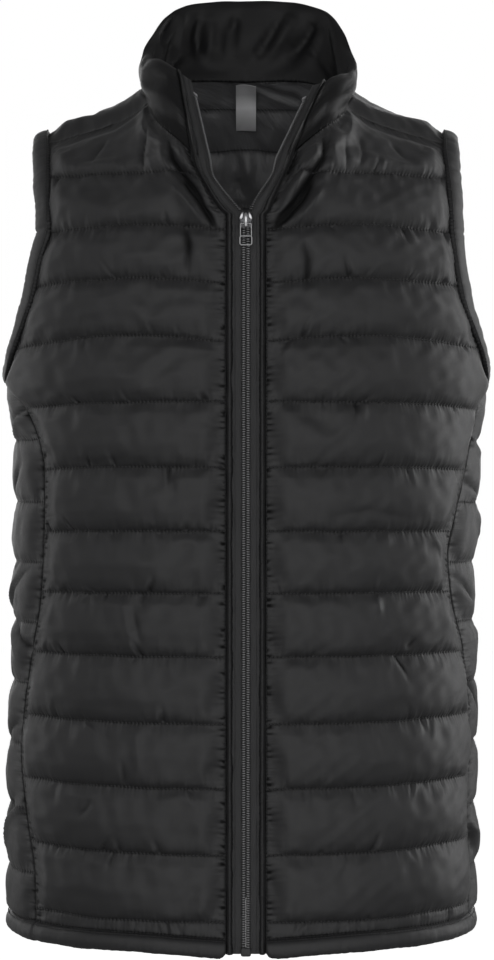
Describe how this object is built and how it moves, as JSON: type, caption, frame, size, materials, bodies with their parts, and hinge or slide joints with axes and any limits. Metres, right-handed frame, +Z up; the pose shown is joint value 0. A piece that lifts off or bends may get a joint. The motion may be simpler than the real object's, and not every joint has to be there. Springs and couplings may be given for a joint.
{
  "type": "puffer vest",
  "caption": "Quilted stand-collar puffer vest in its hollow worn shape, front zip closed to the chest and open above it.",
  "frame": {"origin": "between the shoulders, at the height where the shoulder seams bear on the wearer", "axes": "+Z up, the front with the zip faces -Y, the wearer's right is at -X"},
  "size_m": [0.4176, 0.2648, 0.8125],
  "materials": {
    "shell": "semi-gloss black nylon taffeta",
    "tape": "matte woven polyester",
    "coil": "satin black nylon coil",
    "metal": "satin nickel",
    "label": "grey satin"
  },
  "bodies": {
    "vest": {"front_right": "shell", "front_left": "shell", "back": "shell", "collar": "shell", "front_band_right": "shell", "front_band_left": "shell", "armhole_band_right": "shell", "armhole_band_left": "shell", "hem_band_front_right": "shell", "hem_band_front_left": "shell", "hem_band_back": "shell", "zip_tape_right": "tape", "zip_tape_left": "tape", "zip_chain": "coil", "zip_coil_right": "coil", "zip_coil_left": "coil", "zip_slider": "metal", "zip_stop_right": "metal", "zip_stop_left": "metal", "zip_box": "coil", "neck_label": "label"},
    "pull": {"zip_pull": "metal"}
  },
  "joints": [
    {"name": "pull_swing", "type": "hinge", "parent": "vest", "child": "pull", "pos_m": [0, -0.12497, -0.1138], "axis": [-1, 0, 0], "range_deg": [0, 165]}
  ]
}
